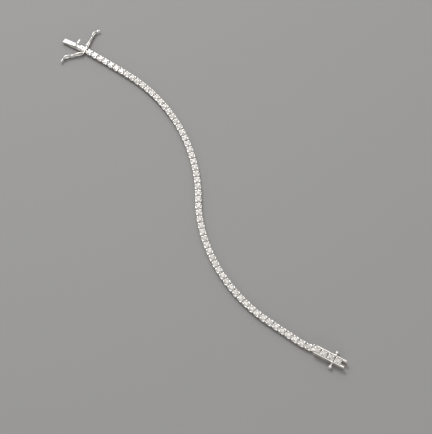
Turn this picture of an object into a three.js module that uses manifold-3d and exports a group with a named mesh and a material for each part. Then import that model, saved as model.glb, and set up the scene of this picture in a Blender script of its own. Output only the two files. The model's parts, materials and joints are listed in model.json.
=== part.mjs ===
// A tennis bracelet, lying open and face up in a long S on a flat surface.
//
// Fifty-nine small collets, each with one round stone, are hinged end to end. One end carries a plain end
// link with a folded spring tongue and two figure-eight safety catches. The other end carries the clasp
// box: the tongue pushes into its mouth, and each safety catch swings round and snaps over a ball stud on
// the side of the box. Here the clasp is undone and both catches stand open.
//
// Units are millimetres and +Z is up. A piece's own frame has +X along the bracelet, from the tongue end
// towards the box, +Y to the left of that direction, and Z = 0 on the surface that the bracelet lies on.

import * as THREE from "three";
import { mergeVertices } from "three/addons/utils/BufferGeometryUtils.js";
import Module from "manifold-3d";

const wasm = await Module();
wasm.setup();

// ---------------------------------------------------------------- driving sizes

const PITCH = 2.74; // hinge to hinge
const RUN_COUNT = 12; // the links are joined along the bracelet in this many solids

// How the chain lies. Each row is a stretch of links and how far the bracelet turns over it, in degrees,
// anticlockwise from above.
const ROUTE = [
  { links: 8, turn: -2.6 },
  { links: 24, turn: -55.2 },
  { links: 2, turn: 6.6 },
  { links: 19, turn: 48.4 },
  { links: 4, turn: 0 },
  { links: 2, turn: 8.3 },
];
const START_HEADING = -32.2; // of the first link, from +X
const END_LINK_TURN = 4; // of the end link, from the first link
const BOX_TURN = -1.7; // of the clasp box, from the last link

// One collet: a tapered four-sided cup with a rim, four corner prongs and the crown of its stone.
const COLLET = {
  headLength: 2.5,
  headWidth: 2.36,
  baseLength: 1.1,
  baseWidth: 2.2,
  rimHeight: 1.6,
  prongHeight: 2.0,
  prongSide: 0.5,
  prongInset: 0.02,
  prongSunk: 0.02,
};
const CROWN = { girdleRadius: 0.9, tableRadius: 0.56, tableHeight: 1.96, sides: 6 };

// The hinge between two links: a fork on the link before, a lug on the link after, and the fork's pin.
const HINGE = {
  height: 0.85,
  knuckleRadius: 0.32,
  lugHalfWidth: 0.3,
  forkInner: 0.42,
  forkOuter: 0.78,
  pinRadius: 0.13,
  boreRadius: 0.19,
  stemHeight: 0.44,
  sides: 8,
};
const HINGE_REACH = 0.7; // from a hinge's axis into the wall of its cup
const BRIDGE = { width: 0.7, low: 0.6, high: 1.1, sunk: 0.12 }; // joins two links of one run

const END_LINK = { front: -2.2, width: 2.44, shoulderHeight: 1.6, catchPivotX: 0.3, catchPivotY: 1.85 };
const CATCH_TUBE = { outerRadius: 0.54, innerRadius: 0.4, low: 0.82, high: 1.58, sides: 12 };

const TONGUE = {
  length: 7.9,
  width: 2.0,
  low: 0.55,
  leaf: 0.38,
  tipHeight: 0.85,
  rearRise: 1.7,
  rearGap: 1.5,
  tipChamfer: 0.22,
};
const THUMB_TAB = { width: 1.4, thickness: 0.42, top: 6.1, lean: 1.5, lipRadius: 0.5, lipWidth: 2.2 };

const CATCH = {
  wire: 0.6,
  wireSides: 6,
  steps: 22,
  height: 1.2,
  halfHeight: 0.78,
  waistX: 4.4,
  waistHalf: 0.22,
  eyeEnd: 8.2,
  tip: 10.0,
  bendStart: 6.3,
  bendRadius: 3.2,
  lipHalfHeight: 0.34,
  lipRadius: 0.4,
};
const LEFT_CATCH_OPEN = 82; // degrees from lying shut along the tongue
const RIGHT_CATCH_OPEN = 43;

const BOX = {
  hingeGap: 0.4,
  length: 12.5,
  width: 3.0,
  height: 2.9,
  wall: 0.35,
  endHalf: 0.9,
  shoulder: 0.8,
  cavityDepth: 8.3,
  cavityTop: 1.62,
  channelStart: 0.2,
  channelHalf: 1.12,
  channelDepth: 0.3,
  channelEnd: 10.9,
  notchLength: 1.6,
  notchWidth: 1.7,
};
const BOX_STONES = { count: 4, first: 1.35, pitch: 2.76 };
const STUD = { x: 8.05, height: 1.2, postRadius: 0.3, ballRadius: 0.66, ballY: 2.9 };

// A round stone: girdle at z = 0, table up, culet down.
const STONE = { radius: 1.04, table: 0.58, crown: 0.32, girdle: 0.06, pavilion: 0.78, sides: 12 };
const SEAT_GAP = 0.06;
const BOX_STONE_GIRDLE = 2.62;
const END_STONE_GIRDLE = 1.64;

const WHITE_GOLD = new THREE.MeshStandardMaterial({ color: 0xe4e1dc, metalness: 1, roughness: 0.18 });
const DIAMOND = new THREE.MeshStandardMaterial({ color: 0xf4f6f8, metalness: 0, roughness: 0.05 });

// ---------------------------------------------------------------- solids from three.js geometry

function solidOf(geometry) {
  const bare = geometry.clone();
  bare.deleteAttribute("normal");
  bare.deleteAttribute("uv");
  const merged = mergeVertices(bare, 1e-4);
  const mesh = new wasm.Mesh({
    numProp: 3,
    vertProperties: merged.attributes.position.array,
    triVerts: new Uint32Array(merged.index.array),
  });
  return new wasm.Manifold(mesh);
}

function geometryOf(solid) {
  const mesh = solid.getMesh();
  const positions = new Float32Array(mesh.numVert * 3);
  for (let i = 0; i < mesh.numVert; i++) {
    positions.set(mesh.vertProperties.subarray(i * mesh.numProp, i * mesh.numProp + 3), i * 3);
  }
  const geometry = new THREE.BufferGeometry();
  geometry.setAttribute("position", new THREE.BufferAttribute(positions, 3));
  geometry.setIndex(new THREE.BufferAttribute(mesh.triVerts, 1));
  return geometry;
}

const union = (solids) => solids.reduce((whole, next) => whole.add(next));

function shapeOf(points) {
  return new THREE.Shape(points.map(([u, v]) => new THREE.Vector2(u, v)));
}

function extrude(points, depth) {
  return new THREE.ExtrudeGeometry(shapeOf(points), { depth, bevelEnabled: false });
}

// A side outline of (x, z) points, made into a slab of that width about y = 0.
function acrossY(points, width) {
  return solidOf(extrude(points, width).rotateX(Math.PI / 2).translate(0, width / 2, 0));
}

// An end outline of (y, z) points, made into a bar from x0 to x1.
function alongX(points, x0, x1) {
  return solidOf(extrude(points, x1 - x0).rotateX(Math.PI / 2).rotateZ(Math.PI / 2).translate(x0, 0, 0));
}

// A plan outline of (x, y) points, made into a plate from z0 to z1.
function upZ(points, z0, z1) {
  return solidOf(extrude(points, z1 - z0).translate(0, 0, z0));
}

function brick(x0, x1, y0, y1, z0, z1) {
  const geometry = new THREE.BoxGeometry(x1 - x0, y1 - y0, z1 - z0);
  return solidOf(geometry.translate((x0 + x1) / 2, (y0 + y1) / 2, (z0 + z1) / 2));
}

// A round bar along Y.
function pin(radius, x, z, y0, y1, sides) {
  const geometry = new THREE.CylinderGeometry(radius, radius, y1 - y0, sides);
  return solidOf(geometry.translate(x, (y0 + y1) / 2, z));
}

// A round bar or cone along Z.
function pillar(topRadius, bottomRadius, x, y, z0, z1, sides, turn = 0) {
  const geometry = new THREE.CylinderGeometry(topRadius, bottomRadius, z1 - z0, sides);
  return solidOf(geometry.rotateX(Math.PI / 2).rotateZ(turn).translate(x, y, (z0 + z1) / 2));
}

// ---------------------------------------------------------------- hinges

// A side outline: a stem from x = reach to a round knuckle about a hinge at x = 0.
function knuckleShape(reach) {
  const { height, knuckleRadius, stemHeight } = HINGE;
  const half = stemHeight / 2;
  const open = Math.asin(half / knuckleRadius);
  const shape = new THREE.Shape();
  shape.moveTo(reach, height - half);
  shape.lineTo(reach, height + half);
  shape.absarc(0, height, knuckleRadius, open, 2 * Math.PI - open);
  return shape;
}

function knuckleSolid(shape, y0, y1) {
  const { sides } = HINGE;
  const geometry = new THREE.ExtrudeGeometry(shape, {
    depth: y1 - y0,
    bevelEnabled: false,
    curveSegments: sides / 2,
  });
  return solidOf(geometry.rotateX(Math.PI / 2).translate(0, y1, 0));
}

// The fork and its pin, about a hinge at x = 0. The stems of the fork reach back to -reach.
function hingeFork(reach) {
  const { height, forkInner, forkOuter, pinRadius, sides } = HINGE;
  const cheek = knuckleSolid(knuckleShape(reach), forkInner, forkOuter).mirror([1, 0, 0]);
  const end = forkInner + 0.1;
  return union([cheek, cheek.mirror([0, 1, 0]), pin(pinRadius, 0, height, -end, end, sides)]);
}

// The lug, about a hinge at x = 0. Its bore clears the pin, and its stem reaches forward to +reach.
function hingeLug(reach) {
  const { height, lugHalfWidth, boreRadius } = HINGE;
  const shape = knuckleShape(reach);
  shape.holes.push(new THREE.Path().absarc(0, height, boreRadius, 0, 2 * Math.PI));
  return knuckleSolid(shape, -lugHalfWidth, lugHalfWidth);
}

// ---------------------------------------------------------------- links

// The tapered cup of a collet, or of a longer piece whose front wall stands upright at frontX instead.
function colletCup(frontX = null) {
  const { headLength, headWidth, baseLength, baseWidth, rimHeight } = COLLET;
  const front = frontX ?? -headLength / 2;
  const side = acrossY(
    [
      [frontX ?? -baseLength / 2, 0],
      [baseLength / 2, 0],
      [headLength / 2, rimHeight],
      [front, rimHeight],
    ],
    headWidth + 1,
  );
  const end = alongX(
    [
      [-baseWidth / 2, 0],
      [baseWidth / 2, 0],
      [headWidth / 2, rimHeight],
      [-headWidth / 2, rimHeight],
    ],
    front - 1,
    headLength,
  );
  return side.intersect(end);
}

function prongs() {
  const { headLength, headWidth, rimHeight, prongHeight, prongSide, prongInset, prongSunk } = COLLET;
  const outerX = headLength / 2 - prongInset;
  const outerY = headWidth / 2 - prongInset;
  const foot = rimHeight - prongSunk;
  const prong = brick(outerX - prongSide, outerX, outerY - prongSide, outerY, foot, prongHeight);
  const pair = prong.add(prong.mirror([1, 0, 0]));
  return pair.add(pair.mirror([0, 1, 0]));
}

function crown() {
  const { girdleRadius, tableRadius, tableHeight, sides } = CROWN;
  return pillar(tableRadius, girdleRadius, 0, 0, COLLET.rimHeight - 0.1, tableHeight, sides);
}

const link = union([colletCup(), prongs(), crown()]);

// The bar that joins a link to the next one of the same run.
function bridge() {
  const { baseLength, headLength, rimHeight } = COLLET;
  const { width, low, high, sunk } = BRIDGE;
  const wallX = baseLength / 2 + ((headLength - baseLength) / 2) * (low / rimHeight);
  return brick(wallX - sunk, PITCH - wallX + sunk, -width / 2, width / 2, low, high);
}

// ---------------------------------------------------------------- the chain's route

const LINK_COUNT = ROUTE.reduce((sum, row) => sum + row.links, 0);

// The frame of each link: its middle on the surface, and its heading in radians.
function linkFrames() {
  const frames = [];
  const hinge = new THREE.Vector2(0, 0);
  let heading = THREE.MathUtils.degToRad(START_HEADING);
  for (const { links, turn } of ROUTE) {
    for (let i = 0; i < links; i++) {
      heading += THREE.MathUtils.degToRad(turn / links);
      const step = new THREE.Vector2(Math.cos(heading), Math.sin(heading)).multiplyScalar(PITCH);
      frames.push({ middle: hinge.clone().addScaledVector(step, 0.5), heading });
      hinge.add(step);
    }
  }
  return { frames, end: hinge, heading };
}

function matrixOf({ middle, heading }) {
  const place = new THREE.Matrix4().makeTranslation(middle.x, middle.y, 0);
  return place.multiply(new THREE.Matrix4().makeRotationZ(heading));
}

const linkFork = () => hingeFork(HINGE_REACH).translate(PITCH / 2, 0, 0);
const moved = (solid, matrix) => solid.transform(matrix.toArray());

// One run of links, in the frame of its first link.
function chainRun(frames) {
  const toFirst = matrixOf(frames[0]).invert();
  const pieces = frames.flatMap((frame, i) => {
    const place = toFirst.clone().multiply(matrixOf(frame));
    const last = i === frames.length - 1;
    const joined = last ? linkFork() : bridge();
    return [moved(link, place), moved(joined, place)];
  });
  return union([...pieces, hingeLug(HINGE_REACH).translate(-PITCH / 2, 0, 0)]);
}

// ---------------------------------------------------------------- stones

function stone() {
  const { radius, table, crown: rise, girdle, pavilion, sides } = STONE;
  const outline = [
    [0, -pavilion],
    [radius, 0],
    [radius, girdle],
    [radius * table, girdle + rise],
    [0, girdle + rise],
  ];
  const points = outline.map(([r, z]) => new THREE.Vector2(r, z));
  return solidOf(new THREE.LatheGeometry(points, sides).rotateX(Math.PI / 2));
}

// What a setting loses to hold a stone: the stone's room, open above the girdle.
function seat(x, girdleZ, top) {
  const { radius, pavilion, sides } = STONE;
  const r = radius + SEAT_GAP;
  const low = girdleZ - pavilion - SEAT_GAP;
  return pillar(r, 0.08, x, 0, low, girdleZ, sides).add(pillar(r, r, x, 0, girdleZ - 0.01, top, sides));
}

// ---------------------------------------------------------------- the end link, tongue and catches

// The short upright tube on the left of the end link, which the catch's pivot bar turns in.
function catchTube() {
  const { outerRadius, innerRadius, low, high, sides } = CATCH_TUBE;
  const { catchPivotX: x, catchPivotY: y } = END_LINK;
  const web = brick(x - 0.3, x + 0.3, 0.9, y - 0.2, low, high);
  return pillar(outerRadius, outerRadius, x, y, low, high, sides)
    .add(web)
    .subtract(pillar(innerRadius, innerRadius, x, y, low - 1, high + 1, sides));
}

// The folded spring: a lower leaf from the end link to the tip, and an upper leaf that rises back.
function tongue() {
  const { length, width, low, leaf, tipHeight, rearRise, rearGap, tipChamfer } = TONGUE;
  const root = END_LINK.front + 0.3;
  const tip = END_LINK.front - length;
  const rear = END_LINK.front - rearGap;
  const leaves = acrossY(
    [
      [root, low],
      [tip + tipChamfer, low],
      [tip, low + tipChamfer],
      [tip, low + tipHeight - tipChamfer],
      [tip + tipChamfer, low + tipHeight],
      [rear, low + rearRise],
      [rear, low + rearRise - leaf],
      [tip + 0.55, low + leaf + 0.03],
      [root, low + leaf],
    ],
    width,
  );
  return leaves.add(thumbTab(rear, low + rearRise));
}

// The thumb tab stands on the upper leaf's rear edge and leans back to a wider rounded lip.
function thumbTab(rear, foot) {
  const { width, thickness, top, lean, lipRadius, lipWidth } = THUMB_TAB;
  const blade = acrossY(
    [
      [rear - thickness, foot - 0.2],
      [rear, foot - 0.2],
      [rear + lean, top - lipRadius],
      [rear + lean - thickness, top - lipRadius],
    ],
    width,
  );
  const lipX = rear + lean - thickness / 2;
  return blade.add(pin(lipRadius, lipX, top - lipRadius, -lipWidth / 2, lipWidth / 2, 10));
}

function endLink() {
  const { front, width, shoulderHeight } = END_LINK;
  const shoulder = brick(front, -0.9, -width / 2, width / 2, 0.15, shoulderHeight);
  const body = union([
    colletCup(front + 0.1),
    shoulder,
    prongs(),
    catchTube(),
    catchTube().mirror([0, 1, 0]),
    linkFork(),
    tongue(),
  ]);
  return body.subtract(seat(0, END_STONE_GIRDLE, COLLET.prongHeight + 1));
}

// A point of the catch, from its distance along the catch, its height and its thickness, bent outwards
// (towards +Y) past bendStart. The catch's frame has its pivot on the Z axis.
function bent(x, z) {
  const { bendStart, bendRadius } = CATCH;
  if (x <= bendStart) {
    return new THREE.Vector3(x, 0, z);
  }
  const angle = (x - bendStart) / bendRadius;
  return new THREE.Vector3(
    bendStart + bendRadius * Math.sin(angle),
    bendRadius * (1 - Math.cos(angle)),
    z,
  );
}

// Half of the figure eight, above or below: up the pivot bar, along the first loop, in at the waist and
// round the eye that goes over the stud.
function catchRail(sign) {
  const { halfHeight, waistX, waistHalf, eyeEnd } = CATCH;
  const eyeMiddle = (waistX + eyeEnd) / 2;
  const outline = [
    [0, -0.1],
    [0, 0.45],
    [0.08, 0.66],
    [0.35, halfHeight],
    [1.6, halfHeight + 0.02],
    [2.9, halfHeight - 0.14],
    [waistX - 0.55, waistHalf + 0.1],
    [waistX, waistHalf],
    [waistX + 0.5, waistHalf + 0.12],
    [waistX + 1.2, halfHeight - 0.12],
    [eyeMiddle + 0.1, halfHeight + 0.04],
    [eyeEnd - 0.75, halfHeight - 0.1],
    [eyeEnd - 0.18, 0.36],
    [eyeEnd, -0.1],
  ];
  return sweepWire(outline.map(([x, z]) => bent(x, sign * z)));
}

function sweepWire(points) {
  const circle = new THREE.Shape().absarc(0, 0, CATCH.wire / 2, 0, 2 * Math.PI);
  const path = new THREE.CatmullRomCurve3(points, false, "centripetal");
  const options = { steps: CATCH.steps, curveSegments: CATCH.wireSides / 2, extrudePath: path };
  return solidOf(new THREE.ExtrudeGeometry(circle, options));
}

// The finger lip past the eye: a flat tapering blade that ends in a small bead.
function catchLip() {
  const { eyeEnd, tip, lipHalfHeight, lipRadius, bendStart, bendRadius, wire } = CATCH;
  const from = bent(eyeEnd - 0.15, 0);
  const to = bent(tip - lipRadius, 0);
  const heading = (eyeEnd + tip - 2 * bendStart) / 2 / bendRadius;
  const length = from.distanceTo(to);
  const blade = acrossY(
    [
      [0, -lipHalfHeight],
      [length, -lipRadius * 0.8],
      [length, lipRadius * 0.8],
      [0, lipHalfHeight],
    ],
    wire * 0.9,
  );
  const place = new THREE.Matrix4().makeRotationZ(heading);
  const bead = solidOf(new THREE.IcosahedronGeometry(lipRadius, 1).translate(to.x, to.y, to.z));
  return moved(blade, place.setPosition(from.x, from.y, from.z)).add(bead);
}

// The catch on the bracelet's left opens towards +Y, and the one on its right is its mirror image.
function safetyCatch(side) {
  const left = union([catchRail(1), catchRail(-1), catchLip()]);
  return side > 0 ? left.mirror([0, 1, 0]) : left;
}

// ---------------------------------------------------------------- the clasp box

// The stud on the box's left.
function boxStud() {
  const { x, height, postRadius, ballRadius, ballY } = STUD;
  const post = pin(postRadius, x, height, BOX.width / 2 - 0.2, ballY, 6);
  return post.add(solidOf(new THREE.IcosahedronGeometry(ballRadius, 1).translate(x, ballY, height)));
}

function claspBox() {
  const { length, width, height, wall, endHalf, shoulder, cavityDepth, cavityTop } = BOX;
  const { channelStart, channelHalf, channelDepth, channelEnd, notchLength, notchWidth } = BOX;
  const half = width / 2;
  const outline = [
    [0, -endHalf],
    [shoulder, -half],
    [length, -half],
    [length, half],
    [shoulder, half],
    [0, endHalf],
  ];
  const body = upZ(outline, 0, height);
  const cavity = brick(length - cavityDepth, length + 1, -half + wall, half - wall, wall, cavityTop);
  const channelFloor = height - channelDepth;
  const channel = brick(channelStart, channelEnd, -channelHalf, channelHalf, channelFloor, height + 1);
  const notch = brick(length - notchLength, length + 1, -notchWidth / 2, notchWidth / 2, 1, height + 1);
  const seats = boxStonePlaces().map((x) => seat(x, BOX_STONE_GIRDLE, height + 1));
  const lug = hingeLug(BOX.hingeGap + 0.5).translate(-BOX.hingeGap, 0, 0);
  return union([body, boxStud(), boxStud().mirror([0, 1, 0])])
    .subtract(union([cavity, channel, notch, ...seats]))
    .add(lug);
}

function boxStonePlaces() {
  const { count, first, pitch } = BOX_STONES;
  return Array.from({ length: count }, (_, i) => first + i * pitch);
}

// ---------------------------------------------------------------- assembly

function mesh(name, solid, material) {
  const made = new THREE.Mesh(geometryOf(solid), material);
  made.name = name;
  return made;
}

function groupAt(x, y, heading) {
  const group = new THREE.Group();
  group.position.set(x, y, 0);
  group.rotation.z = heading;
  return group;
}

function chain(frames) {
  const group = new THREE.Group();
  for (let run = 0; run < RUN_COUNT; run++) {
    const from = Math.round((run * LINK_COUNT) / RUN_COUNT);
    const to = Math.round(((run + 1) * LINK_COUNT) / RUN_COUNT);
    const members = frames.slice(from, to);
    const runMesh = mesh(`chain_run_${run + 1}`, chainRun(members), WHITE_GOLD);
    runMesh.position.set(members[0].middle.x, members[0].middle.y, 0);
    runMesh.rotation.z = members[0].heading;
    group.add(runMesh);
  }
  return group;
}

// The end link's hinge is the bracelet's start, at the chain's own origin.
function tongueEnd(heading) {
  const reach = PITCH / 2;
  const group = groupAt(-reach * Math.cos(heading), -reach * Math.sin(heading), heading);
  group.add(mesh("end_link_with_tongue", endLink(), WHITE_GOLD));
  const gem = mesh("end_link_stone", stone(), DIAMOND);
  gem.position.z = END_STONE_GIRDLE;
  group.add(gem);
  const sides = [
    { name: "safety_catch_left", side: 1, open: LEFT_CATCH_OPEN },
    { name: "safety_catch_right", side: -1, open: RIGHT_CATCH_OPEN },
  ];
  for (const { name, side, open } of sides) {
    const arm = mesh(name, safetyCatch(side), WHITE_GOLD);
    arm.position.set(END_LINK.catchPivotX, side * END_LINK.catchPivotY, CATCH.height);
    arm.rotation.z = Math.PI - side * THREE.MathUtils.degToRad(open);
    group.add(arm);
  }
  return group;
}

function boxEnd(end, heading) {
  const group = groupAt(end.x, end.y, heading);
  const inner = new THREE.Group();
  inner.position.x = BOX.hingeGap;
  group.add(inner);
  inner.add(mesh("clasp_box", claspBox(), WHITE_GOLD));
  boxStonePlaces().forEach((x, i) => {
    const gem = mesh(`clasp_box_stone_${i + 1}`, stone(), DIAMOND);
    gem.position.set(x, 0, BOX_STONE_GIRDLE);
    inner.add(gem);
  });
  return group;
}

const { frames, end, heading: lastHeading } = linkFrames();
const laid = new THREE.Group();
laid.add(tongueEnd(frames[0].heading + THREE.MathUtils.degToRad(END_LINK_TURN)));
laid.add(chain(frames));
laid.add(boxEnd(end, lastHeading + THREE.MathUtils.degToRad(BOX_TURN)));

// The bracelet's origin is the middle of its bounding box, on the surface that it lies on.
laid.updateMatrixWorld(true);
const bounds = new THREE.Box3().setFromObject(laid, true);
const middle = bounds.getCenter(new THREE.Vector3());
laid.position.set(-middle.x, -middle.y, -bounds.min.z);

const bracelet = new THREE.Group();
bracelet.add(laid);
export default bracelet;
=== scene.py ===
"""A tennis bracelet, lying open in a long S on a pale studio floor.

Lengths in the tables below are in millimetres, and MM turns them into metres. A piece's own frame has +X
along the bracelet, from the tongue end towards the clasp box, +Y to the left of that, and Z = 0 on the
floor. Each piece is modelled there once, then laid where it belongs.
"""

import json
import math
import random
from contextlib import contextmanager

import bmesh
import bpy
from bpy.props import FloatProperty, FloatVectorProperty, PointerProperty
from bpy.types import Operator, Panel, PropertyGroup
from mathutils import Matrix, Vector


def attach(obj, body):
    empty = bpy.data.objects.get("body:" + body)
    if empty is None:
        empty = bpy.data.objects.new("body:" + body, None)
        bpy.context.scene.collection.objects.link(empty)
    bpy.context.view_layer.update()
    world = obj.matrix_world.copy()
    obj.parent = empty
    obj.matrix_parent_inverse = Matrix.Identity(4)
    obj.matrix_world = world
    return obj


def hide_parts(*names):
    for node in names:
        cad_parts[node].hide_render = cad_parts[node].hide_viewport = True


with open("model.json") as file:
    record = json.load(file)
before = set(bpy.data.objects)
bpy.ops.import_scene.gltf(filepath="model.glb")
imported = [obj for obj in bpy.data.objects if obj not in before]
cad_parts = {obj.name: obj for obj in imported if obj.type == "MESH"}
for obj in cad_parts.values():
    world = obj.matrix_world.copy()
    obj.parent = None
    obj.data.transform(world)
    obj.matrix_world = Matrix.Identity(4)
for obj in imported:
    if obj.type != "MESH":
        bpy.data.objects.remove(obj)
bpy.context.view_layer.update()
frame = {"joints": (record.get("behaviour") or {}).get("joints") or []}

bl_info = {
    "name": "Tennis Bracelet",
    "version": (1, 0, 0),
    "blender": (4, 5, 0),
    "location": "3D View > Sidebar > Bracelet",
    "description": "Builds an open tennis bracelet with a box clasp and two safety catches",
    "category": "Add Mesh",
}

MM = 0.001
BODY = "bracelet"
LEFT_CATCH = "left_catch"
RIGHT_CATCH = "right_catch"

# How the chain lies: a stretch of links, and how far the bracelet turns over it, anticlockwise from above.
ROUTE = (
    {"links": 8, "turn": -2.6},
    {"links": 24, "turn": -55.2},
    {"links": 2, "turn": 6.6},
    {"links": 19, "turn": 48.4},
    {"links": 4, "turn": 0},
    {"links": 2, "turn": 8.3},
)
RUN_COUNT = 12
END_LINK_TURN = 4  # degrees, of the end link from the first link
BOX_TURN = -1.7  # degrees, of the box from the last link
BOX_HINGE_GAP = 0.4  # from the last hinge to the end of the box

# The outline of a collet's cup, from its foot up to its rim.
CUP_ROWS = (
    {"height": 0.0, "length": 1.0, "width": 2.04},
    {"height": 0.2, "length": 1.3, "width": 2.16},
    {"height": 0.6, "length": 1.64, "width": 2.24},
    {"height": 1.05, "length": 2.04, "width": 2.3},
    {"height": 1.34, "length": 2.36, "width": 2.34},
    {"height": 1.6, "length": 2.5, "width": 2.36},
)
RIM_HEIGHT = 1.6
RIM_HALF_LENGTH = 1.25
RIM_HALF_WIDTH = 1.18
CUP_CORNER = 0.24

# What is cut away under a stone, across the rim between the claws, and behind each claw's root.
SEAT = {"share": 0.955, "foot": 0.3, "height": 1.25, "overlap": 0.05}
DIP = {"above_rim": 0.74, "radius": 0.9}
CLAW_ROOT = {"out": 0.04, "y": 0.56, "low": 0.95, "radius": 0.3}
ARCH = {"height": 0.62, "radius": 0.3}

# A claw's way in over the stone's edge, above its shank.
CLAW_ROWS = (
    {"in": 0.08, "up": 0.08, "scale": 1.02},
    {"in": 0.12, "up": 0.08, "scale": 0.9},
    {"in": 0.11, "up": 0.04, "scale": 0.7},
    {"in": 0.05, "up": 0.01, "scale": 0.55},
)
HINGE = {"height": 0.85, "knuckle": 0.32, "stem": 0.22, "lug": 0.28, "cheek_in": 0.34, "cheek_out": 0.66}
HINGE_PIN = {"radius": 0.15, "play": 0.03, "rivet": 0.06}
HINGE_ROOT = 0.72  # where a hinge's stems start, from the middle of their link

# The facets of a round brilliant. Slopes are from the girdle's plane, "reach" is the part of the girdle's
# radius at which the facet meets that plane, and "first" is the first facet's bearing in eighths of a turn.
CROWN_FACETS = (
    {"name": "bezel", "count": 8, "slope": 34.5, "reach": 1.0, "first": 0.0},
    {"name": "upper girdle", "count": 16, "slope": 41.5, "reach": math.cos(math.pi / 16), "first": 0.25},
)
PAVILION_FACETS = (
    {"name": "main", "count": 8, "slope": 40.8, "reach": 1.0, "first": 0.0},
    {"name": "lower girdle", "count": 16, "slope": 42.3, "reach": math.cos(math.pi / 16), "first": 0.25},
)
STAR_SLOPE = 21.0
TABLE = 0.57  # parts of the girdle's radius
GIRDLE = 0.05
# The painted light or shade of a facet, one drawn at random for each.
FACET_TONES = (1.0, 1.0, 1.0, 0.94, 0.86, 0.72, 0.45)

END_FRONT = -2.2
END_SHOULDER = {"half": 1.22, "low": 0.15, "back": -0.5}
CATCH_PIVOT = {"x": 0.3, "y": 1.85, "z": 1.2}
CATCH_TUBE = {"outer": 0.54, "inner": 0.39, "low": 0.82, "high": 1.58}
CATCH_WEB = {"half": 0.3, "start": 0.95, "lap": 0.2, "step": 0.03}
TONGUE = {"low": 0.55, "fold": 0.24, "rear": 1.7, "rise": 8.0}
TAB = {"stem": 1.4, "width": 2.2, "bend": 0.4, "slope": 68, "flare": 0.6, "curl": 0.31, "curl_turn": 215}

# Half of a catch's figure eight: up its pivot bar, along the first loop, in at the waist and round the eye.
EIGHT = (
    {"along": 0.0, "up": 0.0},
    {"along": 0.0, "up": 0.5},
    {"along": -0.02, "up": 0.8},
    {"along": 0.5, "up": 0.84},
    {"along": 1.6, "up": 0.84},
    {"along": 2.8, "up": 0.7},
    {"along": 3.8, "up": 0.38},
    {"along": 4.4, "up": 0.26},
    {"along": 5.0, "up": 0.38},
    {"along": 5.6, "up": 0.7},
    {"along": 6.5, "up": 0.84},
    {"along": 7.5, "up": 0.74},
    {"along": 8.15, "up": 0.42},
    {"along": 8.2, "up": 0.0},
)
LIP_ROWS = (
    {"along": 8.1, "radius": 0.36},
    {"along": 8.4, "radius": 0.34},
    {"along": 8.9, "radius": 0.33},
    {"along": 9.6, "radius": 0.38},
)
CATCH_TIP = 10.0
CATCH_BEAD = 0.48
CATCH_BEND = {"start": 6.3, "radius": 3.2}
CATCHES = (
    {"name": "left_catch_wire", "side": 1, "open": 82, "body": LEFT_CATCH, "node": "safety_catch_left"},
    {"name": "right_catch_wire", "side": -1, "open": 43, "body": RIGHT_CATCH, "node": "safety_catch_right"},
)

BOX_CHAMFER = {"y": 0.9, "run": 0.8, "across": 0.6}
BOX_PANEL = {"margin": 0.42, "slope": 0.06, "depth": 0.12}
BOX_CAVITY = {"depth": 8.3, "half": 1.1, "low": 0.35, "high": 1.62}
BOX_CHANNEL = {"half": 1.18, "floor": 2.0, "end": 10.95}
BOX_NOTCH = {"length": 1.6, "half": 0.8, "low": 1.0}
BOX_SLOT = {"half_length": 0.14, "half_width": 1.0, "low": 0.9}  # between one head and the next
BOX_STONES = {"count": 4, "first": 1.35, "pitch": 2.76, "girdle": 2.6}
BOX_BORE = {"low": 1.66, "high": 2.1, "foot": 0.1, "mouth": 0.6}
BOX_HEAD = {"half_length": 1.2, "half_width": 1.0, "depth": 0.65, "claws_out": 0.06}
BOX_ROOT = {"start": 0.3, "end": 0.8, "low": 0.6, "high": 1.1}
BOX_POST = {"inset": 0.3, "radius": 0.27, "rise": 0.12, "depth": 0.6}
STUD = {"x": 8.05, "y": 2.9, "z": 1.2, "root": 0.3, "post": 0.3, "collar": 0.5, "collar_out": 0.12}
STUD_PAD = {"half": 0.55, "low": 0.65, "in": 0.3, "out": 0.05, "rise": 0.06}

# The finishes. Scales are patches to the metre, and heights and depths are in millimetres.
WARM = (0.97, 0.96, 0.94)
MOTTLE_SCALE = 700.0
SCRATCH_SCALE = 2600.0
SCRATCH_DEPTH = 0.01
SHADE_HEIGHT = 1.1
PATCH_SCALE = 2400.0

# The lights, in metres and watts, and the camera, in millimetres and degrees.
SOFTBOX = {"place": (-0.18, 0.63, 0.87), "size": 1.2, "energy": 4.1}
KEY = {"place": (-0.27, 0.57, 0.93), "size": 0.3, "energy": 3.7}
FILL = {"place": (0.1, -0.66, 0.26), "size": 0.3, "energy": 0.4}
WORLD_STRENGTH = 0.46
CAMERA = {"x": 8.67, "y": -152.62, "z": 319.66, "elevation": 66.34, "lens": 75.98}


# ---------------------------------------------------------------- sizes and colours that a user may change


def length(name, description, millimetres):
    return FloatProperty(
        name=name,
        description=description,
        default=millimetres * MM,
        min=0.0,
        unit="LENGTH",
        subtype="DISTANCE",
        precision=5,
    )


def colour(name, description, default):
    return FloatVectorProperty(
        name=name,
        description=description,
        default=default,
        size=3,
        min=0.0,
        max=1.0,
        subtype="COLOR",
    )


def share(name, description, default):
    return FloatProperty(name=name, description=description, default=default, min=0, max=1, subtype="FACTOR")


class BRACELET_PG_links(PropertyGroup):
    """The collets of the chain, their claws and their stones."""

    pitch: length("Pitch", "Hinge to hinge", 2.74)
    claw_height: length("Claw height", "Top of the four claws", 2.0)
    claw_radius: length("Claw radius", "Half the thickness of a claw", 0.23)
    stone_radius: length("Stone radius", "Half the diameter at the girdle", 1.04)


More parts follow.
